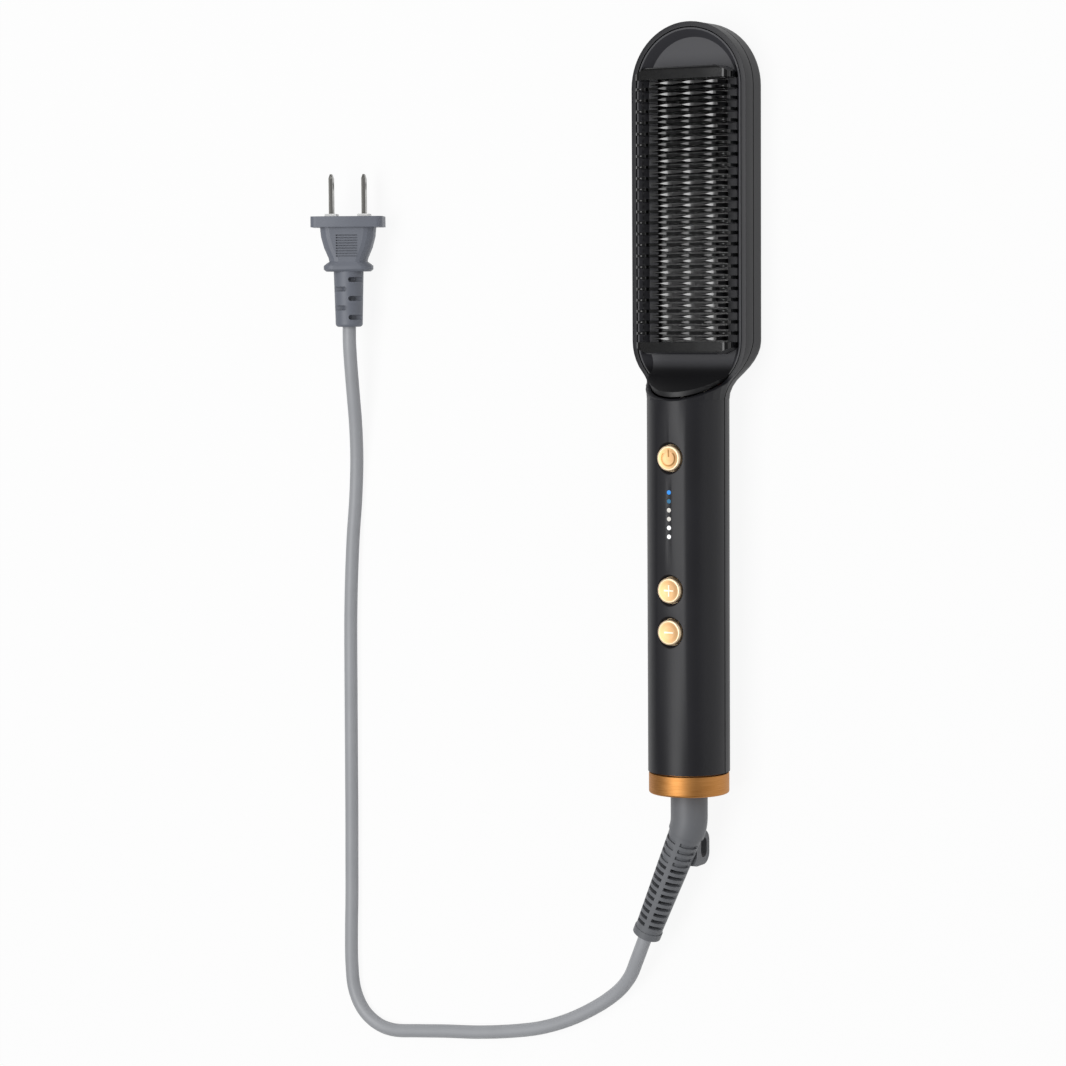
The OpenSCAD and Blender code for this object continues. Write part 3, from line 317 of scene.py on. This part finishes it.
def soft_grey(name, code, roughness, speck=0.2, cloud=0.3):
    """Grey soft moulding: cloudy tone, fine matt grain and a little dust."""
    f = Finish(name)
    clouds = f.grain(0.012, 3)
    fine = f.grain(0.0005, 3)
    dust = f.specks(0.0023, 0.07)
    base = tint(code)
    cloudy = f.mix(clouds.rise(0.3, 0.7) * cloud, base, scaled(base, 0.78))
    colour = f.mix(dust * speck, cloudy, scaled(base, 1.6))
    return f.coat(colour, roughness + 0.12 * clouds - 0.05 * fine, fine, 18e-6)


def sheet_metal(name, bright, dark, roughness, stretch=(1, 12, 1), depth=3e-6):
    """Rolled or plated metal, with drawn lines one way and faint stains."""
    f = Finish(name)
    lines = f.grain(0.00025, 3, stretch)
    stain = f.grain(0.006, 4).rise(0.45, 0.75)
    colour = f.mix(lines * 0.5 + stain * 0.4, tint(bright), tint(dark))
    return f.coat(colour, roughness + 0.15 * lines + 0.1 * stain, lines, depth,
                  fixed={"Metallic": 1.0})


def fired_ceramic(name, code, mark):
    """Pressed and fired blocks: pores and a darker glaze in patches."""
    f = Finish(name)
    pores = f.specks(0.0007, 0.28)
    patch = f.grain(0.003, 4)
    colour = f.mix(pores * 0.6, f.mix(patch, tint(code), tint(mark)), tint("#2a2a2c"))
    return f.coat(colour, 0.6 + 0.2 * patch, 1 - pores, 30e-6)


def thin_film(name, code, deep, roughness):
    """Amber film or mica: flecks, and layers that shift the tone."""
    f = Finish(name)
    layers = f.grain(0.004, 4, (1, 2.5, 1))
    flecks = f.specks(0.0012, 0.22)
    colour = f.mix(layers.rise(0.35, 0.65), tint(code), tint(deep))
    return f.coat(colour, roughness + 0.2 * flecks, flecks, 8e-6)


def wire_sleeve(name, first, second):
    """Insulated wire with a pale tracer mark along it every 6 mm."""
    f = Finish(name)
    marks_apart = 0.006
    y = f.xyz()[1]
    turn = f.node("ShaderNodeMath", {"operation": "SINE"}, {0: y * (2 * math.pi / marks_apart)})
    print_mark = turn.rise(0.93, 0.97) * f.grain(0.001, 1).rise(0.45, 0.55)
    fine = f.grain(0.0006, 2)
    return f.coat(f.mix(print_mark, tint(first), tint(second)), 0.4 + 0.15 * fine, fine, 8e-6)


def solder_mask(name):
    """Green board with lighter tracks and tinned pads."""
    f = Finish(name)
    cells_per_metre, lane_width = 330.0, 0.0009
    cells = f.node("ShaderNodeTexVoronoi", {"distance": "MANHATTAN"},
                   {"Vector": f.place, "Scale": cells_per_metre}, out="Distance")
    pads = cells.rise(0.16, 0.11)
    lane = f.node("ShaderNodeMath", {"operation": "PINGPONG"}, {0: f.xyz()[0], 1: lane_width})
    tracks = lane.rise(0.0003, 0.00038) * f.grain(0.004, 0, (0.5, 4, 1)).rise(0.48, 0.52)
    colour = f.mix(pads, f.mix(tracks * 0.7, tint("#2f5f45"), tint("#4c8a63")), tint("#d6d3c4"))
    return f.coat(colour, 0.3 - 0.08 * pads, tracks * 0.6 + pads, 25e-6, metallic=pads * 0.9)


def marked_block(name, code, mark, roughness=0.55):
    """A moulded electrical part: matt body, moulding pits and a pale wiped top."""
    f = Finish(name)
    fine = f.grain(0.0004, 3)
    wipe = f.grain(0.003, 2, (3, 1, 1)).rise(0.55, 0.75)
    colour = f.mix(wipe * 0.35, tint(code), tint(mark))
    return f.coat(colour, roughness + 0.1 * fine, fine, 15e-6)


def lamp_dots(name):
    """The clear pins: the two towards the head glow blue, the next two grey, the last two white."""
    f = Finish(name)
    x, y, z = f.xyz()
    top = z.rise(0.0284, 0.0287)
    lens = f.grain(0.0009, 2)
    pin_radius, blend = 0.0009, 0.0002
    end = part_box("light_guide")[1].y - pin_radius
    first, second, dim = [y.rise(end - gap - blend, end - gap + blend)
                          for gap in (0.0016, 0.0048, 0.0112)]
    white = f.mix(dim, tint("#f7f9fb"), tint("#c9c6c0"))
    blue = f.mix(first, tint("#0d5f86"), tint("#0a84dc"))
    shown = f.mix(second, white, blue)
    colour = f.mix(top, tint("#dfe7ee"), shown)
    return f.coat(colour, 0.25 + 0.1 * lens, lens, 10e-6,
                  fixed={"Emission Strength": 0.3}, emission_color=f.mix(top, (0, 0, 0, 1), shown))


FINISHES = {
    "rear_shell": satin_moulding("rear_satin", "#1b1b1f", 0.42),
    "front_shell": satin_moulding("front_satin", "#1b1b1f", 0.38),
    "comb_guard": guard_moulding("guard_black"),
    "heated_comb": ceramic_moulding("comb_gloss", "#070708"),
    "insulating_films": thin_film("amber_film", "#b5762a", "#8f5417", 0.3),
    "heater_electrodes": sheet_metal("electrode_sheet", "#cdb06a", "#9b7b35", 0.32),
    "ptc_tablets": fired_ceramic("fired_grey", "#8d8f93", "#6f7175"),
    "heater_clamp": sheet_metal("clamp_sheet", "#c4c7cb", "#94989e", 0.35),
    "heat_shield": thin_film("mica_sheet", "#a8997c", "#c6b996", 0.45),
    "comb_screws": sheet_metal("comb_zinc", "#c9ccd0", "#878b91", 0.28, (1, 1, 6)),
    "shell_screws": sheet_metal("shell_zinc", "#c9ccd0", "#878b91", 0.28, (1, 1, 6)),
    "board_screws": sheet_metal("board_zinc", "#c9ccd0", "#878b91", 0.28, (1, 1, 6)),
    "thermal_fuse": marked_block("fuse_glaze", "#d8d4c6", "#8b8578", 0.25),
    "temperature_sensor": marked_block("sensor_bead", "#c9cdd2", "#e9edf2", 0.12),
    "sensor_lead": wire_sleeve("sensor_red", "#7d2a22", "#b9807a"),
    "heater_leads": wire_sleeve("heater_white", "#d9d9d4", "#9a9a92"),
    "mains_leads": wire_sleeve("mains_blue", "#4a6fa8", "#aebfda"),
    "circuit_board": solder_mask("board_green"),
    "tact_switches": marked_block("switch_black", "#33353a", "#6d6f75"),
    "indicator_leds": marked_block("lamp_white", "#e8ecf0", "#ffffff", 0.2),
    "light_guide": lamp_dots("lamp_dots"),
    "control_chip": marked_block("chip_black", "#26272b", "#7d7f84"),
    "triac": marked_block("triac_black", "#26272b", "#9a9ca0"),
    "capacitor": marked_block("capacitor_yellow", "#c9b23a", "#efe08a", 0.3),
    "end_collar": brushed_gold("collar_gold", "#d0995c", "#ac7138"),
    "swivel_bush": soft_grey("bush_cream", "#e3ded0", 0.45),
    "swivel_spool": soft_grey("spool_cream", "#e3ded0", 0.45),
    "contact_block": marked_block("contact_grey", "#3c3f45", "#6b6f76"),
    "contact_springs": sheet_metal("spring_brass", "#d3b25a", "#97762b", 0.28),
    "slip_rings": sheet_metal("ring_brass", "#d3b25a", "#97762b", 0.22, (6, 1, 6)),
    "power_plunger": marked_block("power_peg", "#1d1d20", "#3a3a3f"),
    "plus_plunger": marked_block("plus_peg", "#1d1d20", "#3a3a3f"),
    "minus_plunger": marked_block("minus_peg", "#1d1d20", "#3a3a3f"),
    "power_button": key_gold("power_gold", "power_button", "power", "#a97c45"),
    "plus_button": key_gold("plus_gold", "plus_button", "plus", "#fff3dc"),
    "minus_button": key_gold("minus_gold", "minus_button", "minus", "#fff3dc"),
    "strain_relief": soft_grey("boot_grey", "#6c6e72", 0.46, 0.35),
    "power_cord": soft_grey("cord_grey", "#a0a2a6", 0.42, 0.1, 0.2),
    "plug_body": soft_grey("plug_grey", "#6d717b", 0.45, 0.12),
    "plug_blades": sheet_metal("blade_nickel", "#a9a8a4", "#6d6c69", 0.24, depth=0.6e-6),
    "blade_collars": soft_grey("collar_white", "#f2f2f0", 0.35, 0.1, 0.15),
}
for node, finish in FINISHES.items():
    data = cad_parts[node].data
    data.materials.clear()
    data.materials.append(finish)
mains_flex.data.materials.append(FINISHES["power_cord"])


# ---------------------------------------------------------- softened edges
HARD_EDGE = math.radians(35)  # an edge sharper than this can be rounded
SMOOTH_EDGE = math.radians(32)  # faces that meet at less are shaded as one
FLAT_ENOUGH = math.radians(0.02)  # faces that meet at less are joined
SAME_VERTEX, SAME_CORNER, SAME_WAY = 1e-6, 3e-6, 0.98


def corners(mesh):
    """Each face corner of a mesh: its place, its face's normal and its own."""
    for face in mesh.polygons:
        for corner in face.loop_indices:
            place = mesh.vertices[mesh.loops[corner].vertex_index].co
            yield corner, place, face.normal, mesh.corner_normals[corner].vector


def on_tail(place, face):
    """The comb guard's round tail beside the handle."""
    out = Vector((place.x, 0, place.z - AXIS_Z))
    near_tail = 0.004 < place.y < 0.0125 and abs(out.length - 0.0129) < 0.0004
    return near_tail and face.dot(out.normalized()) > 0.96


def keep_shading(mesh, source):
    """Give a mesh the normals of its source wherever a corner of it is still where it was.

    The comb guard's round tail is made of flats in the source, and is left smooth.
    """
    known = [(place.copy(), face.copy(), own.copy())
             for corner, place, face, own in corners(source)]
    tree = KDTree(len(known))
    for index, entry in enumerate(known):
        tree.insert(entry[0], index)
    tree.balance()
    normals = [None] * len(mesh.loops)
    for corner, place, face, own in corners(mesh):
        near = [known[index] for spot, index, far in tree.find_range(place, SAME_CORNER)]
        best = max(near, key=lambda entry: entry[1].dot(face), default=None)
        same = best and best[1].dot(face) > SAME_WAY and not on_tail(place, face)
        normals[corner] = tuple(best[2] if same else own)
    mesh.normals_split_custom_set(normals)


def soften(name, body, *roundings):
    """A copy of a part with some of its hard outer edges rounded; it stands in for the part.

    Each rounding is the test that picks its edges, its width in metres and its steps.
    """
    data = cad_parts[name].data.copy()
    soft = bpy.data.objects.new(name + "_soft", data)
    bpy.context.scene.collection.objects.link(soft)
    bpy.ops.object.select_all(action="DESELECT")
    soft.select_set(True)
    bpy.context.view_layer.objects.active = soft
    bpy.ops.mesh.customdata_custom_splitnormals_clear()
    bpy.ops.object.mode_set(mode="EDIT")
    bpy.ops.mesh.select_mode(type="EDGE")
    bpy.ops.mesh.select_all(action="SELECT")
    bpy.ops.mesh.remove_doubles(threshold=SAME_VERTEX)
    bpy.ops.mesh.dissolve_limited(angle_limit=FLAT_ENOUGH)
    for wanted, width, steps in roundings:
        bpy.ops.mesh.select_all(action="DESELECT")
        shape = bmesh.from_edit_mesh(data)
        picked = 0
        for edge in shape.edges:
            if len(edge.link_faces) == 2 and edge.is_convex and edge.calc_face_angle() > HARD_EDGE:
                edge.select = bool(wanted(edge, (edge.verts[0].co + edge.verts[1].co) / 2))
                picked += edge.select
        shape.select_flush_mode()
        bmesh.update_edit_mesh(data)
        if picked:
            bpy.ops.mesh.bevel(offset=width, offset_type="OFFSET", segments=steps,
                               affect="EDGES", clamp_overlap=True)
    bpy.ops.object.mode_set(mode="OBJECT")
    bpy.ops.object.shade_smooth_by_angle(angle=SMOOTH_EDGE)
    keep_shading(data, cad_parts[name].data)
    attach(soft, body)
    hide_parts(name)


def on_rim(edge, middle):
    """The outer edge of the head's flat rim."""
    outward = (middle - Vector((0, 0.06, 0))).xy
    flat = any(face.normal.z > 0.98 for face in edge.link_faces)
    out = any(abs(face.normal.z) < 0.3 and face.normal.xy.dot(outward) > 0
              for face in edge.link_faces)
    return flat and out and 0.0135 < middle.z < 0.0146 and middle.y > 0.005


def round_key(edge, middle):
    """The outer edge of a key's hole."""
    return middle.z > 0.0285 and abs(middle.x) < 0.0055 and -0.086 < middle.y < -0.011


def round_recess(edge, middle):
    """The handle's edge round the comb guard's ramp."""
    upward = any(face.normal.z > 0.3 for face in edge.link_faces)
    return upward and middle.z > AXIS_Z and -0.014 < middle.y < 0.012


def on_ramp(edge, middle):
    """The ramp's own edge beside the handle."""
    return middle.z > 0.0105 and middle.y < 0.0125


def on_end_bar(edge, middle):
    """The upper edges of the two end bars."""
    return middle.z > 0.0200 and abs(middle.y - 0.0695) > 0.0495


def on_collar(edge, middle):
    """The collar's two outer edges."""
    return Vector((middle.x, middle.z - AXIS_Z)).length > 0.0138


def on_flange(edge, middle):
    """The plug's front and back flanges, and the rounded end of its sleeve."""
    return middle.y > 0.0685 or 0.0515 < middle.y < 0.0558 or middle.y < 0.032


def everywhere(edge, middle):
    """Each hard edge that points outwards."""
    return True


soften("front_shell", "brush",
       (on_rim, 0.0011, 4), (round_key, 0.00025, 2), (round_recess, 0.0003, 2))
soften("comb_guard", "brush", (on_ramp, 0.0004, 3), (on_end_bar, 0.0007, 3))
soften("end_collar", "brush", (on_collar, 0.0004, 3))
soften("plug_body", "cord_tail", (on_flange, 0.0004, 3))
soften("strain_relief", "cord_tail", (everywhere, 0.00015, 1))
soften("plug_blades", "cord_tail", (everywhere, 0.00015, 2))


# ------------------------------------------------------------------ stage
def add_floor():
    """A wide white floor that keeps the object's shadow."""
    bpy.ops.object.select_all(action="DESELECT")
    bpy.ops.mesh.primitive_plane_add(size=60, location=(0, 0, -0.0002))
    floor = bpy.context.object
    floor.name = "studio_floor"
    f = Finish("floor_white")
    camera, glossy, through = [f.node("ShaderNodeLightPath", out=f"Is {kind} Ray")
                               for kind in ("Camera", "Glossy", "Transmission")]
    seen = camera.high(glossy).high(through)
    paint = f.node("ShaderNodeBsdfDiffuse", None, {"Color": (0.8, 0.8, 0.8, 1)})
    glow = f.node("ShaderNodeEmission", None, {"Color": (1, 1, 1, 1), "Strength": 1.0})
    f.node_end(f.node("ShaderNodeMixShader", None, {0: seen * 0.92, 1: paint, 2: glow}))
    floor.data.materials.append(f.material)


LAMP_AIM = Vector((0, -0.03, 0.02))
LAMP_DISTANCE = 1.5


def add_lamp(name, toward, along, size, share):
    """A soft rectangular lamp, its long side along an axis; share is its part of full white."""
    way = Vector(toward).normalized()
    side = (Vector(along) - way * way.dot(Vector(along))).normalized()
    data = bpy.data.lights.new(name, "AREA")
    data.shape, (data.size, data.size_y) = "RECTANGLE", size
    data.energy = share * math.pi ** 2 * LAMP_DISTANCE ** 2
    lamp = bpy.data.objects.new(name, data)
    place = LAMP_AIM + way * LAMP_DISTANCE
    turn = Matrix((side.cross(way), side, way)).transposed()
    lamp.matrix_world = Matrix.Translation(place) @ turn.to_4x4()
    bpy.context.scene.collection.objects.link(lamp)


def add_world(strength):
    """Even white light from all round."""
    world = bpy.data.worlds.new("studio_air")
    bpy.context.scene.world = world
    world.use_nodes = True
    air = world.node_tree.nodes["Background"].inputs
    air["Color"].default_value, air["Strength"].default_value = (1, 1, 1, 1), strength


add_floor()
add_lamp("key_above", (-0.17, 0.05, 1.0), (0, 1, 0), (0.85, 1.6), 0.86)
add_lamp("fill_right", (1.0, 0.10, 0.25), (0, 1, 0), (0.4, 1.4), 0.08)
add_lamp("rim_head", (0.1, 1.0, 0.7), (1, 0, 0), (0.4, 0.9), 0.06)
add_world(0.26)
bpy.context.scene.view_settings.view_transform = "Standard"
